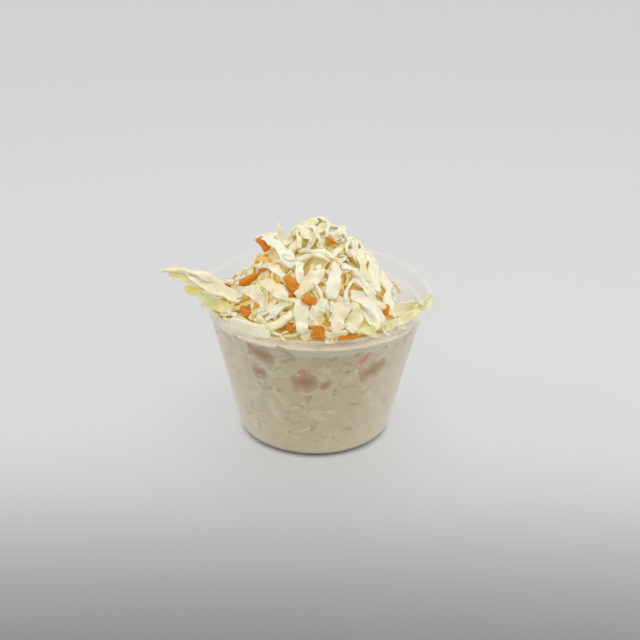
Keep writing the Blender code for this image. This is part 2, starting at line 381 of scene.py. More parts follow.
def pressed_piece(name, strips, material, soft, reach):
    """Strips bent round the wall: (degrees from the front, height, length, width, lean, bend).

    Each is an oval strip on the unrolled wall, its path a parabola, put back on the wall by its
    angle and height. Soft is the share of it whose colour fades into the dressing's, and reach
    is how far it goes into the skin.
    """
    turn, height, length, width, lean, bend = np.array(strips, float).T[:, :, None, None]
    share = np.linspace(-1, 1, 14)[None, 1:-1, None]
    angle = np.arange(12) * np.pi / 6
    u, v = np.cos(angle), np.sign(np.sin(angle)) * np.abs(np.sin(angle)) ** 0.5
    wobble = 1 + 0.2 * np.sin(share * 6 + 9 * turn) + 0.14 * np.sin(share * 11 + 5 * height)
    half = width * mm / 2 * (1 - share**4) ** 0.5 * wobble
    path = share * length * mm / 2
    sag = bend * mm * (1 - share**2)
    lean = np.radians(lean)
    arc = path * np.cos(lean) - (sag + half * u) * np.sin(lean)
    up = height * mm + path * np.sin(lean) + (sag + half * u) * np.cos(lean)
    radius = wall_radius(up) + reach - pressed_half * (1 - v)
    around_cup = np.radians(turn - 90) + arc / wall_radius(height * mm)
    rings = np.stack([radius * np.cos(around_cup), radius * np.sin(around_cup), up], axis=-1)
    fade = np.clip((1 - np.maximum(np.abs(u), np.abs(share) ** 2 + 0 * u)) / soft, 0, 1)
    values = {"body": fade + 0 * up, "tone": chance.uniform(0, 1, (len(strips), 1, 1)) + 0 * up}
    piece = closed_skins(name, rings, rings[:, 0].mean(axis=1), rings[:, -1].mean(axis=1), values)
    piece.data.materials.append(material)
    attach(piece, "root")


def clouded_material(name, faint, strong, wear=0.3):
    """The dressing's colour, clouded towards a tone between faint and strong in the middle.

    Wear is how much of the piece the dressing covers in patches.
    """
    finish = Finish(name)
    worn = finish.ramp(finish.noise(420.0, 3.0), wear, wear + 0.25)
    shown = finish.times(finish.attribute("body"), worn)
    own = finish.mix(finish.attribute("tone"), faint, strong)
    colour = finish.mix(shown, (0.655, 0.55, 0.32), own)
    finish.set({"Base Color": colour, "Specular IOR Level": 0.0})
    return finish.material


def scattered(count, lowest, lengths, widths):
    """Random strips all round the wall, mostly level, from a height up to the slaw's edge.

    The rows are as pressed_piece takes them, in millimetres and degrees.
    """
    turn = chance.uniform(-180, 180, count)
    edge_x, edge_y = slaw_rim * np.sin(np.radians(turn)), -slaw_rim * np.cos(np.radians(turn))
    highest = np.minimum(core_surface(edge_x, edge_y), highest_pressed) / mm - 1.5
    return np.stack([
        turn,
        lowest + (highest - lowest) * chance.uniform(0, 1, count),
        chance.uniform(*lengths, count),
        chance.uniform(*widths, count),
        chance.normal(0, 40, count),
        chance.uniform(-0.8, 0.8, count),
    ], axis=1)


slivers = clouded_material("cabbage in dressing", (0.54, 0.47, 0.26), (0.34, 0.32, 0.17))
flakes = clouded_material("white shreds in dressing", (0.80, 0.72, 0.50), (0.66, 0.60, 0.37))
blushes = clouded_material("carrot in dressing", (0.44, 0.19, 0.03), (0.34, 0.13, 0.01), 0.0)
streak = clouded_material("carrot at the wall", (0.75, 0.20, 0.08), (0.62, 0.16, 0.06))
flake_strips = scattered(170, 9, (4, 13), (1.4, 4.4))
pressed_piece("pressed_flakes", flake_strips, flakes, 1.0, 0.17 * mm)
sliver_strips = scattered(170, 6, (1.4, 6.5), (0.6, 2.2))
pressed_piece("pressed_slivers", sliver_strips, slivers, 0.8, 0.19 * mm)
# degrees to the right of the front, height, length, width, lean and bend, in millimetres and
# degrees; the first rows of each show in front
pressed_carrots = [
    (-5.5, 30.5, 9.5, 9.5, 8, 0),
    (-30, 38.5, 11.0, 7.0, -12, 0.3),
    (-33, 31.5, 6.0, 5.0, 0, 0),
    (35, 33.0, 12.0, 7.5, 22, -0.4),
    (6.5, 29.5, 5.0, 3.2, 50, 0),
    (74, 33, 6.0, 3.6, 30, 0),
    (112, 29, 7.0, 3.4, -15, 0.5),
    (158, 28, 5.0, 4.0, 10, 0),
    (-165, 31, 7.0, 3.2, 35, 0),
    (-118, 27, 5.5, 3.6, -20, 0.4),
    (-78, 37, 6.0, 3.0, 15, 0),
]
pressed_streaks = [
    (-6, 34.4, 4.6, 2.0, 20, 0.3),
    (28, 37, 7.6, 1.5, 62, 0.5),
    (24, 36.4, 4.0, 0.8, 55, 0.2),
    (95, 29, 5.0, 1.3, -30, 0.3),
    (-140, 33, 6.0, 1.4, 50, 0.4),
    (178, 30, 5.0, 1.3, 10, 0.2),
]
pressed_piece("pressed_carrot", pressed_carrots, blushes, 1.0, 0.21 * mm)
pressed_piece("pressed_carrot_streaks", pressed_streaks, streak, 0.4, 0.23 * mm)

# --- The way a shred is cut and lies --------------------------------------------------------
# A cabbage shred is a flat strip of leaf, cupped across, frilled along its edges and rounded by
# the dressing that coats it. It drops on the heap, tilts to lie on it and sags where it can.

stations = 22  # places along a shred, closer together near its ends
around = 16  # points round it at each
even = np.linspace(0, 1, stations)
along_shred = even - 0.11 * np.sin(2 * np.pi * even)
steepest = 1.3  # the rise over the run of the steepest place where a shred stays
sag_share = 0.75  # how much of the room under it a limp shred sags into
wall_gap = 1.2 * mm

# the surface so far as a grid of heights, and the underside of the listed strips above it
cell = 0.4 * mm
span = 54.0 * mm
grid_x, grid_y = np.meshgrid(np.arange(-span, span, cell), np.arange(-span, span, cell),
                             indexing="ij")
grid_radius = np.hypot(grid_x, grid_y)
over_slaw = grid_radius < slaw_rim + mm
surface = np.where(over_slaw, core_surface(grid_x, grid_y), 0.0)
surface = np.where(~over_slaw & (grid_radius < brim_radius), cup_height, surface)
ceiling = np.full(surface.shape, 1.0)
shreds = {}  # the strips of each kind


def cells(x, y):
    """The grid cells that hold these places."""
    last = surface.shape[0] - 1
    return (
        np.clip(np.round((x + span) / cell), 0, last).astype(int),
        np.clip(np.round((y + span) / cell), 0, last).astype(int),
    )


def unit(vectors):
    """The same directions, each of length one."""
    return vectors / np.maximum(np.linalg.norm(vectors, axis=-1, keepdims=True), 1e-12)


def framed(spine, level, roll):
    """The directions across and out of a strip: level made square to the spine, then rolled."""
    along = unit(np.gradient(spine, axis=0))
    across = unit(level - along * (level * along).sum(axis=1, keepdims=True))
    out = np.cross(along, across)
    out = out * np.where(out[:, 2:] < 0, -1, 1)
    turn = np.reshape(roll, (-1, 1))
    return across * np.cos(turn) + out * np.sin(turn), out * np.cos(turn) - across * np.sin(turn)


def spread(strip, lengthwise=3, crosswise=15):
    """Places all over a strip's broad side, for laying it on the heap's surface."""
    steps = np.linspace(0, stations - 1, stations * lengthwise)
    low = np.minimum(steps.astype(int), stations - 2)
    part = (steps - low)[:, None]
    spine = strip["spine"][low] * (1 - part) + strip["spine"][low + 1] * part
    reach = strip["across"] * strip["width"][:, None] / 2
    reach = reach[low] * (1 - part) + reach[low + 1] * part
    return spine[:, None] + reach[:, None] * np.linspace(-0.95, 0.95, crosswise)[None, :, None]


def taper(share, sharp):
    """The width along a shred, as a share: full for most of it and closing round at each end."""
    return np.clip(1 - np.abs(2 * share - 1) ** sharp, 0, 1) ** 0.45


def footprint(strip):
    """Places all over a strip's broad side, and the grid cells that hold them."""
    places = spread(strip)
    return places, cells(places[..., 0], places[..., 1])


def raise_to(heights, strip):
    """Raise a grid of heights to a strip's upper side."""
    places, at = footprint(strip)
    np.maximum.at(heights, at, places[..., 2] + strip["thickness"] / 2)


def lay(kind, tries, width, length, thickness, room_over, squeeze, spot=(0, 0, slaw_rim)):
    """Drop one random shred on the lowest of a few places, and say whether it found room.

    Its plan is an arc, its height the plane that fits the surface below plus an arch. It drops
    until it touches, and then sags by a share of the room left under it. It may stand room_over
    above the mound and press by squeeze into the listed strips. The places lie within
    the spot (x, y, radius).
    """
    # the lowest of a few places
    spot_x, spot_y, spot_radius = spot
    x = spot_x + chance.uniform(-spot_radius, spot_radius, tries)
    y = spot_y + chance.uniform(-spot_radius, spot_radius, tries)
    on_slaw = np.hypot(x, y) < slaw_rim - 2 * mm
    room = np.where(on_slaw, mound(x, y)[0] - surface[cells(x, y)], -1.0)
    best = room.argmax()
    middle = np.array([x[best], y[best]])

    # its size and its plan
    width = width * chance.uniform(0.5, 1.35)
    length = length * chance.uniform(0.6, 1.25)
    thickness = thickness * chance.uniform(0.75, 1.25)
    heading = chance.uniform(0, 2 * np.pi) + chance.normal(0, 0.5) * (along_shred - 0.5)
    steps = np.diff(along_shred, prepend=0)[:, None] * length
    plan = np.cumsum(np.stack([np.cos(heading), np.sin(heading)], axis=1) * steps, axis=0)
    plan += middle - plan[stations // 2]
    level = np.stack([-np.sin(heading), np.cos(heading), 0 * heading], axis=1)

    # the plane that fits what is under it, no steeper than a shred can lie
    foot_x = plan[:, :1] + level[:, :1] * width / 2 * np.linspace(-1, 1, 7)
    foot_y = plan[:, 1:] + level[:, 1:2] * width / 2 * np.linspace(-1, 1, 7)
    under = surface[cells(foot_x, foot_y)]
    base = np.stack([foot_x.ravel(), foot_y.ravel(), np.ones(foot_x.size)], axis=1)
    slope = np.linalg.lstsq(base, under.ravel(), rcond=None)[0]
    slope[:2] = np.clip(slope[:2], -steepest, steepest)
    place = 2 * along_shred - 1
    arch = chance.uniform(-1.5, 3.0) * mm * (1 - place**2)
    wave = chance.uniform(0, 0.9) * mm * np.sin(place * chance.uniform(2, 5) + heading[0])
    spine = np.column_stack([plan, plan @ slope[:2] + slope[2] + arch + wave])
    level[:, 2] = level[:, :2] @ slope[:2]
    roll = chance.normal(0, 0.35) + chance.normal(0, 0.5) * place
    across, out = framed(spine, level, roll)
    strip = {
        "spine": spine,
        "across": across,
        "out": out,
        "width": width * taper(along_shred, chance.uniform(2.5, 9)),
        "thickness": thickness,
        "seed": chance.integers(1 << 30),
        "cup": chance.uniform(-0.35, 0.75),
        "ragged": 0.028,
        "frill": width * chance.uniform(0.0, 0.22 if kind == "leaf" else 0.14),
        "lumpy": 1.0,
    }

    # the drop until it touches, and the sag into the room that is left
    places, at = footprint(strip)
    need = surface[at] + thickness / 2 - places[..., 2]
    drop = np.percentile(need, 93)
    spare = np.maximum(drop - need.max(axis=1).reshape(stations, -1).max(axis=1), 0)
    smooth = np.convolve(np.pad(spare, 2, mode="edge"), np.ones(5) / 5, mode="valid")
    spine[:, 2] += drop - sag_share * np.minimum(smooth, spare + 0.4 * mm)
    strip["across"], strip["out"] = framed(spine, level, roll)

    # whether it stays in the cup, under the listed strips and near the mound
    places, at = footprint(strip)
    top = places[..., 2] + thickness / 2
    radius = np.hypot(places[..., 0], places[..., 1])
    inside = (radius < wall_radius(places[..., 2]) - wall_gap) & (radius < slaw_rim + 0.2 * mm)
    over = top - mound(places[..., 0], places[..., 1])[0]
    fits = inside.all() and np.percentile(top - ceiling[at], 96) < squeeze
    if not fits or np.percentile(over, 90) >= room_over:
        return False
    shreds.setdefault(kind, []).append(strip)
    raise_to(surface, strip)
    return True


# --- The shreds that stand out --------------------------------------------------------------
# Long springy strips that stand out of the heap: a bundle out over the brim, a tuft on top, and
# the broad strips that lie uppermost on the front. Each is given in the list below.

# kind, then tip, middle and root as (x, y, height over the mound's surface) in millimetres, then
# width and thickness in millimetres, then the roll at the tip and the root in degrees
placed = [
    # the bundle out over the brim
    ("white", (-48.5, -1, 11), (-39, -4, 12.5), (-27, -9, 4.5), 2.8, 1.0, 30, 10),
    ("green", (-46, -2, 10.5), (-37.5, -6, 9), (-26.5, -7, 1.5), 2.8, 1.0, -20, 10),
    ("white", (-45, 1, 10), (-36, 0, 8.5), (-25, -4, 3), 2.6, 1.0, 50, 20),
    ("green", (-41, -4, 6.5), (-38, -6, 6), (-33, -8, 5), 2.4, 1.0, 10, 0),
    ("white", (-39.5, -5, 11.5), (-32, -8, 8.5), (-22.5, -14.5, 1), 4.0, 1.0, 20, 0),
    ("green", (-35, -9, 5), (-31, -11, 3.5), (-26, -13.5, 0), 4.4, 0.9, 0, 0),
    # the left side
    ("leaf", (-24.5, -12, 1.5), (-20, -15.5, 3), (-14.5, -21.5, 0.5), 3.4, 0.9, -10, 10),
    ("white", (-26, -19, -0.3), (-20.5, -24.5, -0.6), (-13, -28, -0.6), 5.0, 1.1, -5, -10),
    ("white", (-15, -27, 0), (-10.5, -27, 1), (-7, -25, 1), 3.0, 1.0, 0, 20),
    ("white", (-15, -24.5, 0), (-10.5, -24, 1.5), (-6.5, -22, 1.5), 1.9, 1.0, 10, 10),
    ("white", (-17.5, -22, 0), (-13, -23, 1), (-8, -22, 1), 1.8, 1.0, -20, 10),
    ("white", (-20.5, -19, -0.5), (-16, -21.5, 0.5), (-11.5, -20, 0.5), 1.8, 1.0, 0, 0),
    ("leaf", (-27, 2, 5.5), (-22.5, 1, 4.5), (-16.5, -5, 2), 3.2, 0.9, 20, 0),
    ("white", (-19, -1, 1.5), (-14, -10, 2), (-9.5, -15.5, 1.5), 2.8, 1.0, 10, 0),
    ("white", (-16.5, -11.5, 0.5), (-12.5, -17, 1), (-9, -21.5, 0.5), 4.4, 1.0, 0, 10),
    ("white", (-19.5, 2, 12.5), (-13, -4.5, 5.5), (-6.5, -14, 2), 4.0, 1.1, 35, -10),
    ("white", (-18.5, 2, 5.5), (-17, 0, 2.5), (-15, -7, 1), 2.6, 1.0, 20, 0),
    ("white", (-15, -1, 3), (-11.5, -7.5, 1.5), (-8.5, -12.5, 1.5), 2.6, 1.0, 10, 10),
    ("white", (-16.5, 4, 10), (-12.5, 3, 5.5), (-8, -3, 1.5), 4.0, 1.0, 20, 10),
    ("white", (-12, 3, 10.5), (-11.5, 2, 7), (-10.5, 1, 2.5), 1.8, 0.9, 50, 20),
    # the tuft on top
    ("green", (-8, 1, 2), (-4.5, 0, 4.5), (0.5, 1, 6), 3.4, 1.0, 20, -20),
    ("white", (-2, 2, 5), (1, 3, 6), (4, 3, 5), 3.0, 1.0, 25, 30),
    ("white", (3.5, -1, 5.5), (0, -3, 3.5), (-2.5, -7.5, 1.5), 2.6, 1.0, 30, 0),
    ("white", (8.5, 1, 8.5), (7, -2, 5), (4.5, -4, 2), 2.2, 0.9, 50, 20),
    ("white", (-8, -7, 1), (-5.5, -4, 2), (-3.5, -1, 2.5), 2.8, 1.0, 10, 10),
    ("white", (-5.5, -8, 1.5), (0, -10, 2.5), (5, -10, 2), 2.2, 1.0, 25, 15),
    ("white", (5, -10, 2), (7.5, -5.5, 2.5), (10.5, 0, 5), 2.0, 0.9, 0, 20),
    ("rib", (11, 1, 6.5), (14, 1, 6), (16, -2, 3.5), 4.1, 1.5, 30, 30),
    ("white", (5.5, -3, 3), (8, -1.5, 5), (12.5, -3, 3.5), 4.0, 1.0, 10, 20),
    ("white", (9, -6, 2), (12, -5.5, 3.5), (15, -7, 2.5), 4.2, 1.0, 0, 10),
    ("leaf", (-4.5, 0.5, 4.5), (-3.5, -2.5, 4.5), (-1, -6, 2), 4.4, 0.9, 15, 0),
    ("white", (9, 1, 4), (11, -1, 3), (13, -6.5, 1.5), 2.8, 1.0, 10, 20),
    ("white", (1, 1.5, 6), (5, 2, 6), (9.5, 1, 6), 3.0, 1.0, 30, 30),
    # thin shreds between them
    ("white", (-2, -2, 5.5), (-0.5, -4, 5), (1.5, -7, 3), 1.3, 0.8, 30, 0),
    ("white", (4.5, 1, 6.5), (3.5, -1.5, 5.5), (3, -4.5, 3.5), 1.2, 0.8, 20, 0),
    ("white", (-6.5, -2, 5), (-5.5, -4.5, 4), (-5, -8, 2.5), 1.2, 0.8, 30, 10),
    ("green", (11, -2, 6.5), (9.5, -4.5, 5), (9, -8, 3), 1.3, 0.8, 20, 0),
    ("white", (3, -11, 4), (6.5, -12.5, 4), (10, -12, 3), 1.3, 0.8, 0, 20),
    ("white", (-11, -9, 3.5), (-8, -11.5, 3.5), (-4, -13, 3), 1.3, 0.8, 10, 0),
    ("white", (12, -16, 3.5), (9.5, -19.5, 4), (9, -24, 3), 1.2, 0.8, 20, 0),
    ("green", (-13, -20, 3), (-9.5, -22.5, 3), (-5.5, -23.5, 2.5), 1.2, 0.8, 0, 10),
    ("white", (14, -17.5, 3.5), (17.5, -18, 3.5), (21, -18, 2.5), 1.2, 0.8, 0, 0),
    ("white", (-1, -20, 3.5), (1.5, -22.5, 3.5), (2, -26, 3), 1.2, 0.8, 10, 0),
    # the middle
    ("white", (-6, -12, 2), (-0.5, -12, 3.5), (4.5, -12.5, 2.5), 2.2, 1.0, 25, 15),
    ("white", (-5, -12.5, 2.5), (-5, -16.5, 3), (-4.5, -19, 2), 2.6, 1.0, 30, 0),
    ("white", (0.5, -13.5, 2), (1, -15.5, 2.5), (1.5, -17.5, 1.5), 2.0, 0.9, 0, 0),
    ("white", (2, -15, 2.5), (-1.5, -19, 3), (-6, -22, 2), 4.2, 1.0, 0, 10),
    ("white", (6.5, -13, 2.5), (5.5, -18.5, 3.5), (4.5, -23, 2.5), 4.1, 1.1, 10, -10),
    ("leaf", (7.5, -14, 3.5), (10.5, -13.5, 4), (13.5, -13, 3), 2.0, 0.8, 0, 0),
    ("leaf", (4, -24, 2.5), (0.5, -26.5, 3), (0, -29.5, 1.5), 4.2, 0.9, 20, 20),
    ("leaf", (8, -21, 2), (7, -26, 2.5), (5, -30.5, 1.5), 5.6, 0.9, -10, 10),
    ("leaf", (10, -22.5, 2.5), (12, -25.5, 3), (9.5, -29.5, 1.5), 4.4, 0.9, -30, -20),
    ("white", (2, -30.5, 1), (5.5, -31, 1), (10, -29, 1), 2.0, 1.0, 0, 0),
    ("rib", (-4.5, -22.5, 1.5), (-4, -27, 2), (-3.5, -31, 0.5), 4.4, 1.6, 0, 0),
    ("white", (-3.5, -29.5, 0.5), (-2.5, -30.5, 0.5), (-2, -31.5, 0.5), 2.4, 1.0, 0, 0),
    # the right side
    ("white", (12, -10, 1.5), (14.5, -12.5, 2.5), (18, -15, 2), 3.2, 1.0, -15, 10),
    ("white", (11, -14, 1.5), (14, -15.5, 2.5), (18, -17, 2), 3.0, 1.0, 20, -10),
    ("white", (10, -19.5, 1.5), (15, -20, 3), (20.5, -22.5, 1.5), 4.3, 1.1, 10, -10),
    ("white", (11, -21, 1), (15.5, -22.5, 2), (18.5, -26, 1), 3.4, 1.0, 20, -10),
    ("green", (12, -23, 0), (14.5, -25.5, 0.5), (16, -28, 0.5), 5.6, 1.0, 0, 0),
    ("rib", (19.5, -0.5, 6), (22, -7, 4.5), (22, -16, 1.5), 4.3, 1.5, 25, -10),
    ("white", (14.5, 1, 6.5), (17.5, -5, 6), (18, -14.5, 2.5), 4.7, 1.1, 5, -5),
    ("white", (12.5, -3, 4.5), (14, -8, 4), (15.5, -13, 2.5), 3.8, 1.0, -10, 5),
    ("white", (33.5, -8, 6), (28.5, -9, 3.5), (22, -16, 1.5), 4.2, 1.0, 10, 0),
    ("green", (36.5, -1, 6.5), (34.5, -6, 5), (30, -10, 2.5), 4.0, 1.0, 20, 0),
    ("green", (21, -22.5, 0.5), (26.5, -18, 2), (32, -10.5, 3.5), 2.6, 1.0, 0, 0),
    ("leaf", (23, 3, 9.5), (25.5, 5, 9), (27, 5.5, 6.5), 1.8, 0.8, 60, 20),
    ("white", (23.5, 3, 9), (23.5, 2, 7), (24.5, 1, 5), 1.6, 0.8, 70, 20),
    ("leaf", (16.5, 0, 5.5), (19, 0.5, 7), (21.5, 0.5, 7.5), 2.2, 0.8, 30, 30),
]


def bow(tip, middle, root):
    """A smooth path of one bend through three places over the mound's surface."""
    ends = []
    for x, y, lift in (tip, middle, root):
        x, y = x * mm, y * mm
        ends.append(np.array([x, y, mound(x, y)[0] + lift * mm]))
    share = along_shred[:, None]
    pull = 2 * ends[1] - 0.5 * (ends[0] + ends[2])
    return (1 - share) ** 2 * ends[0] + 2 * share * (1 - share) * pull + share**2 * ends[2]


# grated carrot on the heap: tip, middle and root, width, thickness and the two rolls, as above
placed += [
    ("carrot", (-18, -1, 10.5), (-16.5, -2.5, 7.5), (-15, -4, 4.5), 2.4, 1.8, 0, 0),
    ("carrot", (-27.5, 0, 6), (-27.5, 0, 5), (-27.5, -1, 3.5), 1.8, 1.5, 0, 0),
    ("carrot", (-23.5, -8, 2.5), (-21, -10, 3), (-18, -10.5, 3), 2.0, 1.9, 10, -10),
    ("carrot", (-9, -16.5, 2.5), (-7.5, -18.5, 2.5), (-6, -20.5, 2), 2.4, 1.8, 20, 0),
    ("carrot", (-6.5, -18, 0.5), (-7, -19.5, 0.5), (-8, -20.5, 0), 2.0, 1.6, 0, 0),
    ("carrot", (-4, -23.5, 3.5), (-2, -24.5, 3.5), (0, -25, 3), 2.2, 2.0, -10, 10),
    ("carrot", (1, -30.5, 2.5), (1, -31.5, 2), (1, -32.5, 1), 3.4, 3.0, 0, 0),
    ("carrot", (3.5, -5.5, 3.5), (4.5, -6, 3.5), (5.5, -6.5, 3.5), 1.8, 1.5, 20, 20),
    ("carrot", (9, -18, 2.5), (9.5, -19, 2.5), (10, -20, 2), 1.4, 1.2, 0, 0),
    ("carrot", (22, -16, 3), (21.5, -17.5, 2.5), (21.5, -18.5, 1.5), 1.6, 1.4, 0, 0),
    ("carrot", (7, -31.5, 0.5), (10, -30.5, 0.5), (13, -29, 0.5), 1.3, 1.3, 0, 0),
    ("carrot", (-22.5, -16, -0.5), (-21, -18.5, -0.5), (-20, -20, -0.5), 2.2, 1.8, 0, 0),
    ("carrot", (-11, -27.5, -0.5), (-8.5, -27, -0.5), (-7, -29, -0.5), 2.0, 1.6, 0, 0),
    ("carrot", (-6, 14, 3), (-3, 16, 3), (1, 17, 2.5), 2.6, 2.0, 0, 0),
    ("carrot", (14, 10, 3), (15, 13, 3), (15, 16, 2.5), 2.4, 1.8, 0, 0),
    ("carrot", (-16, 11, 3), (-18, 8, 3), (-18.5, 5, 3), 2.2, 1.8, 0, 0),
]

chance = np.random.default_rng(21)
heap_heart = np.array([0, 0, 30 * mm])  # what the placed strips turn their broad side away from
for kind, tip, middle, root, width, thickness, tip_roll, root_roll in placed:
    spine = bow(tip, middle, root)
    outward = spine - heap_heart
    level = np.cross(np.gradient(spine, axis=0), outward)
    roll = np.radians(np.linspace(tip_roll, root_roll, stations))
    roll = roll + 0.25 * np.sin(along_shred * chance.uniform(4, 9) + chance.uniform(0, 6))
    across, out = framed(spine, unit(level), roll)
    swing = 0.04 if kind == "carrot" else 0.14
    swell = 1 + swing * np.sin(along_shred * chance.uniform(5, 11) + chance.uniform(0, 6))
    sharp = chance.choice([3, 5, 9]) if width < 3 else chance.choice([6, 9, 14])
    strip = {
        "spine": spine,
        "across": across,
        "out": out,
        "width": width * mm * swell * taper(along_shred, 30 if kind == "carrot" else sharp),
        "thickness": thickness * mm,
        "seed": chance.integers(1 << 30),
        "cup": 0.0 if kind == "carrot" else chance.uniform(0.15, 0.6) * chance.choice([-0.5, 1, 1]),
        "ragged": {"leaf": 0.035, "carrot": 0.008}.get(kind, 0.026),
        "frill": width * mm * {"leaf": 0.24, "carrot": 0.0}.get(kind, chance.uniform(0.02, 0.1)),
        "lumpy": 0.4 if kind == "carrot" else 1.0,
    }
    shreds.setdefault(kind, []).append(strip)
    places, at = footprint(strip)
    np.minimum.at(ceiling, at, places[..., 2] - strip["thickness"] / 2)

# --- The lying shreds -----------------------------------------------------------------------
# The rest of the shreds, dropped one by one where the heap is lowest, in four rounds: the broad
# buried ones first, then the main layer, and last the thin ones that fill what is left on top.

attempts = 4
rounds = [
    # count, room over the mound, width, length and thickness, and how far one may press into
    # the listed strips
    (170, 0.0 * mm, 3.8 * mm, 18 * mm, 1.2 * mm, 0.2 * mm),
    (320, 0.9 * mm, 3.0 * mm, 15 * mm, 1.0 * mm, 0.5 * mm),
    (380, 1.5 * mm, 2.4 * mm, 13 * mm, 0.9 * mm, 0.8 * mm),
    (380, 2.0 * mm, 1.6 * mm, 10 * mm, 0.8 * mm, 0.8 * mm),
]
for count, room_over, width, length, thickness, squeeze in rounds:
    for number in range(count):
        kind = chance.choice(["white", "green", "leaf", "rib"], p=[0.66, 0.17, 0.08, 0.09])
        wide = width * {"leaf": 1.5, "rib": 0.85}.get(kind, 1.0)
        long = length * {"leaf": 0.75, "rib": 0.6}.get(kind, 1.0)
        thick = thickness * {"leaf": 0.75, "rib": 1.6}.get(kind, 1.0)
        for attempt in range(attempts):
            if lay(kind, 14, wide, long, thick, room_over, squeeze):
                break

# the fuller places: the tuft on top and the two shoulders beside it
fuller = [
    # x, y and radius, count and room over the mound, in millimetres
    (1, 1, 9, 70, 5.5),
    (-14, 1, 6, 45, 4.5),
    (14, 0, 6, 45, 4.5),
    (21, -3, 4, 20, 3.0),
    (-25, -3, 5, 25, 3.0),
]
for x, y, radius, count, room in fuller:
    for number in range(count):
        kind = chance.choice(["white", "green"], p=[0.85, 0.15])
        spot = (x * mm, y * mm, radius * mm)
        for attempt in range(attempts):
            if lay(kind, 6, 2.5 * mm, 10 * mm, 0.9 * mm, room * mm, 0.6 * mm, spot):
                break

# --- The shreds' surfaces and finishes ------------------------------------------------------
# Each strip gets its skin: torn edges, veins, crumples and a lumpy film of dressing. Cabbage is
# white or pale green, painted warmer the deeper it lies for the light that passes through the
# shreds above; grated carrot is stubby, square and orange.


def blurred(heights, radius):
    """Heights smoothed by a box blur in both directions, three times over."""
    width = int(round(radius / cell)) | 1
    window = np.ones(width) / width
    for _ in range(3):
        for axis in (0, 1):
            heights = np.apply_along_axis(np.convolve, axis, heights, window, mode="same")
    return heights


top_surface = np.where(grid_radius < slaw_rim, surface, mound(grid_x, grid_y)[0] - 2 * mm)
for kind in shreds:
    for strip in shreds[kind]:
        raise_to(top_surface, strip)
top_surface = np.maximum(blurred(top_surface, 2.4 * mm), blurred(top_surface, 5.5 * mm))


warmed_at = 3.2 * mm  # how deep a shred is when its light is fully warmed
tuft_top = 70 * mm
tuft_height = 14 * mm


def depth_under(points):
    """How deep a place lies under the heap's smoothed top, from 0 near it to 1 well inside.

    Near the peak it counts for less, as light comes into the thin tuft from all sides.
    """
    height = points[..., 2]
    under = (top_surface[cells(points[..., 0], points[..., 1])] - height) / warmed_at
    shaded = np.clip((tuft_top - height) / tuft_height, 0.3, 1)
    return np.clip(under - 0.05, 0, 1) * shaded


def shred_rings(strip):
    """A strip's surface as rings: across x half width x u + out x (thickness, cup and frill).

    u and v run round a flattened, rounded oval. The cup bends the strip across as u squared, the
    frill waves its edges, three shallow veins run along it, and noise crumples it and makes its
    film of dressing lumpy.
    """
    chance = np.random.default_rng(strip["seed"])
    lumpy = strip["lumpy"]
    angle = np.arange(around) * 2 * np.pi / around
    u = np.sign(np.cos(angle)) * np.abs(np.cos(angle)) ** 0.55
    v = np.sign(np.sin(angle)) * np.abs(np.sin(angle)) ** 0.38
    share = along_shred[1:-1, None]
    closing = taper(share, 24)
    torn = sum(
        np.sin(share * chance.uniform(8, 42) + np.sign(u) * chance.uniform(1, 5)) for _ in range(4)
    )
    half = strip["width"][1:-1, None] / 2 * (1 + strip["ragged"] * torn)
    uneven = 1 + 9 * strip["ragged"] * np.sin(share * chance.uniform(4, 14) + chance.uniform(0, 6))
    phase = share * chance.uniform(14, 26) + 1.4 * np.sign(u) + chance.uniform(0, 6)
    wave = strip["frill"] * u**2 * (np.sin(phase) + 0.4 * np.sin(2.3 * phase))
    cupped = strip["cup"] * (u**2 - 0.35) * half
    veins = np.cos(2 * np.pi * u * 1.5 + chance.uniform(0, 6)) * (1 - u**2)
    wedge = 1 + chance.uniform(-0.4, 0.4) * u
    rise = v * (strip["thickness"] / 2 * wedge * uneven * closing + 0.1 * mm * lumpy * veins)
    rise = rise + (wave + cupped) * closing
    across, out = strip["across"][1:-1, None], strip["out"][1:-1, None]
    flat = strip["spine"][1:-1, None] + across * (half * u)[..., None]
    crumple = 0.45 * mm * lumpy * ripple(flat, 4.5 * mm, 7)
    rings = flat + out * (rise + crumple * closing)[..., None]
    lumps = 0.13 * mm * ripple(rings, 1.6 * mm, 5) + 0.2 * mm * ripple(rings, 5 * mm, 6)
    lumps *= lumpy
    return rings + out * (lumps * v)[..., None] + across * (lumps * u)[..., None]


def shred_piece(name, strips, material):
    """One object of all the strips of a kind, with the values that its material reads.

    They are how deep each point lies, each strip's own tone, how near its long edges a point is
    and wavy lines along it, the cosine of seven times the way across.
    """
    rings = np.array([shred_rings(strip) for strip in strips])
    tone = np.random.default_rng(len(strips)).uniform(0, 1, (len(strips), 1, 1))
    swing = np.random.default_rng(len(strips) + 1).uniform(0, 6, (2, len(strips), 1, 1))
    share = along_shred[1:-1, None]
    u = np.cos(np.arange(around) * 2 * np.pi / around)
    values = {
        "depth": depth_under(rings),
        "tone": tone + 0 * rings[..., 0],
        "rim": np.abs(u) ** 3 + 0 * rings[..., 0],
        "vein": np.cos(7 * u + swing[0] + 1.2 * np.sin(6 * share + swing[1])),
    }
    piece = closed_skins(name, rings, rings[:, 0].mean(axis=1), rings[:, -1].mean(axis=1), values)
    piece.data.materials.append(material)
    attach(piece, "root")


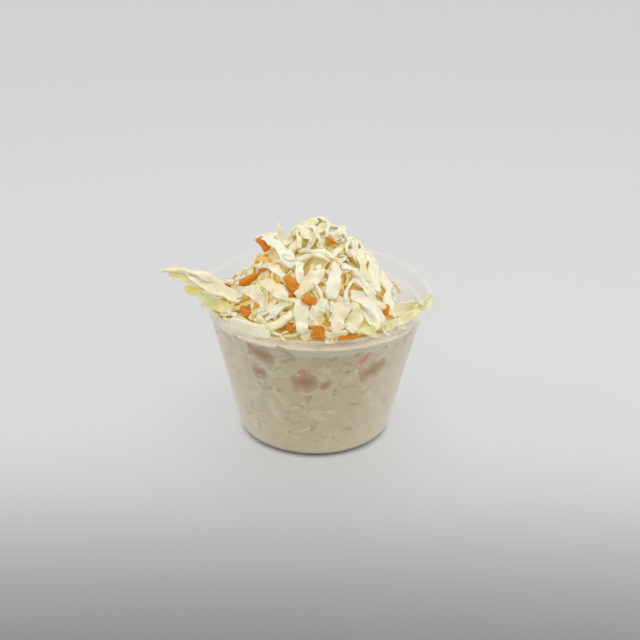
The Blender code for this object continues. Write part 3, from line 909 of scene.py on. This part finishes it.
def cabbage_material(name, pale, full, golden, amber):
    """Wet leaf under dressing: pale to full with the shred's tone and a cloudy coat of cream.

    Deep in the heap the light that reaches a shred has passed through others, which warms it,
    and a faint glow stands in for the part that comes through them.
    """
    finish = Finish(name)
    finish.set({
        "IOR": 1.42,
        "Subsurface Weight": 0.35,
        "Subsurface Radius": (1.0, 0.95, 0.85),
        "Subsurface Scale": 0.5 * mm,
        "Coat Weight": 0.55,
        "Coat Roughness": 0.15,
    })
    leaf = finish.mix(finish.attribute("tone"), pale, full)
    clouds = finish.noise(230.0, 3.0)
    veined = finish.times(finish.attribute("vein"), 0.07, clouds)
    # the cream coat lies in cloudy patches along the veins, and the long edges are also painted a
    # little whiter, a painted highlight where cut edges catch the light
    coat_and_lit_edges = finish.times(finish.attribute("rim"), 0.06, veined)
    creamy = finish.mix(finish.ramp(coat_and_lit_edges, 0.5, 0.82), leaf, (0.96, 0.92, 0.80))
    depth = finish.attribute("depth")
    yellowed = finish.mix(finish.ramp(depth, 0.0, 0.6), creamy, golden)
    warmed = finish.mix(finish.ramp(depth, 0.5, 1.0), yellowed, amber)
    finish.set({
        "Base Color": warmed,
        "Emission Color": yellowed,
        "Emission Strength": finish.ramp(depth, 0.0, 0.3, 0.0, 0.08),
        "Roughness": finish.ramp(clouds, 0.0, 1.0, 0.2, 0.42),
    })
    finish.bump(finish.noise(1100.0, 2.0), 0.5, 0.15 * mm)
    return finish.material


white = cabbage_material(
    "white cabbage",
    pale=(0.93, 0.88, 0.68),
    full=(0.91, 0.81, 0.48),
    golden=(0.94, 0.80, 0.36),
    amber=(0.94, 0.62, 0.10),
)
green = cabbage_material(
    "pale green cabbage",
    pale=(0.90, 0.85, 0.50),
    full=(0.82, 0.77, 0.32),
    golden=(0.88, 0.78, 0.28),
    amber=(0.86, 0.64, 0.10),
)
shred_piece("white_shreds", shreds["white"], white)
shred_piece("leaf_pieces", shreds["leaf"], white)
shred_piece("rib_pieces", shreds["rib"], white)
shred_piece("green_shreds", shreds["green"], green)

carrot = Finish("grated carrot")
carrot.set({
    "IOR": 1.42,
    "Subsurface Weight": 0.3,
    "Subsurface Radius": (1.0, 0.3, 0.08),
    "Subsurface Scale": 0.8 * mm,
    "Roughness": 0.32,
    "Specular IOR Level": 0.2,
    "Coat Weight": 0.08,
})
fibre = carrot.noise(520.0, 3.0)
orange = carrot.mix(fibre, (0.66, 0.17, 0.004), (0.82, 0.32, 0.015))
smear = carrot.ramp(carrot.noise(260.0, 2.0), 0.6, 0.85, 0.0, 0.35)
carrot.set({"Base Color": carrot.mix(smear, orange, (0.93, 0.78, 0.50))})
carrot.bump(fibre, 0.4, 0.2 * mm)
shred_piece("carrot_shreds", shreds["carrot"], carrot.material)

# --- The stage ------------------------------------------------------------------------------
# A pale sheet laid flat under the cup, which glows softly but for a painted shade in front and a
# painted contact shadow round the cup's foot, a lamp close above it, a broad one in front, one on
# each side, and the camera looking down on it.

sheet_half = 3.0
sheet_points = [
    (-sheet_half, -sheet_half, 0),
    (sheet_half, -sheet_half, 0),
    (sheet_half, sheet_half, 0),
    (-sheet_half, sheet_half, 0),
]
sheet_mesh = bpy.data.meshes.new("floor")
sheet_mesh.from_pydata(sheet_points, [], [(0, 1, 2, 3)])
floor = bpy.data.objects.new("floor", sheet_mesh)
bpy.context.scene.collection.objects.link(floor)
paper = Finish("pale paper")
narrowed = paper.node("Mapping", {"Vector": paper.place, "Scale": (0.5, 1, 1)}).outputs[0]
# the glow fades to a painted shade in a broad place in front of the cup
from_painted_shade_spot = paper.node("VectorMath", {0: narrowed, 1: (0, -0.3, 0)}, operation="DISTANCE")
glow = paper.ramp(
    from_painted_shade_spot.outputs["Value"], 0.16, 0.30, 0.0, 0.43, interpolation_type="SMOOTHSTEP"
)
# and it fades round the cup's foot, a painted contact shadow
from_cup = paper.node("VectorMath", {0: paper.place}, operation="LENGTH")
outside_painted_contact_shadow = paper.ramp(
    from_cup.outputs["Value"],
    base_radius - 2.5 * mm,
    base_radius + 1.5 * mm,
    interpolation_type="SMOOTHSTEP",
)
paper.set({
    "Base Color": (0.25, 0.25, 0.248, 1),
    "Roughness": 0.6,
    "Emission Color": (1.0, 1.0, 0.99, 1),
    "Emission Strength": paper.times(glow, outside_painted_contact_shadow),
})
floor.data.materials.append(paper.material)


def lamp(name, place, aim, size, power, color):
    """A soft square lamp at a place, facing another."""
    light = bpy.data.lights.new(name, "AREA")
    light.size = size
    light.energy = power
    light.color = color
    made = bpy.data.objects.new(name, light)
    made.location = place
    made.rotation_euler = (Vector(aim) - made.location).to_track_quat("-Z", "Y").to_euler()
    bpy.context.scene.collection.objects.link(made)


lamp("top lamp", (0.02, 0.08, 0.36), (0.01, 0.04, 0), 0.3, 0.42, (1.0, 0.985, 0.96))
lamp("front fill", (0.06, -0.65, 0.42), (0, 0, 0.03), 0.8, 1.4, (1.0, 0.99, 0.97))
lamp("left fill", (-0.6, 0.02, 0.3), (0, 0, 0.03), 0.4, 0.8, (1.0, 0.99, 0.97))
lamp("right fill", (0.6, 0.02, 0.3), (0, 0, 0.03), 0.4, 0.9, (1.0, 0.99, 0.97))
world = bpy.data.worlds.new("soft room")
world.use_nodes = True
background = world.node_tree.nodes["Background"]
background.inputs["Color"].default_value = (0.95, 0.97, 1.0, 1)
background.inputs["Strength"].default_value = 0.56
bpy.context.scene.world = world
bpy.context.scene.view_settings.view_transform = "Standard"

camera_distance = 0.563
camera_elevation = math.radians(26.1)
camera_roll = math.radians(0.9)
aim = Vector((1.4 * mm, 0, 36.6 * mm))
lens = bpy.data.cameras.new("camera")
lens.sensor_width = 36
lens.lens = 100
camera = bpy.data.objects.new("camera", lens)
camera.location = aim + camera_distance * Vector(
    (0, -math.cos(camera_elevation), math.sin(camera_elevation))
)
tilt = Euler((math.pi / 2 - camera_elevation, 0, 0)).to_matrix()
camera.rotation_euler = (tilt @ Matrix.Rotation(camera_roll, 3, "Z")).to_euler()
bpy.context.scene.collection.objects.link(camera)
bpy.context.scene.camera = camera
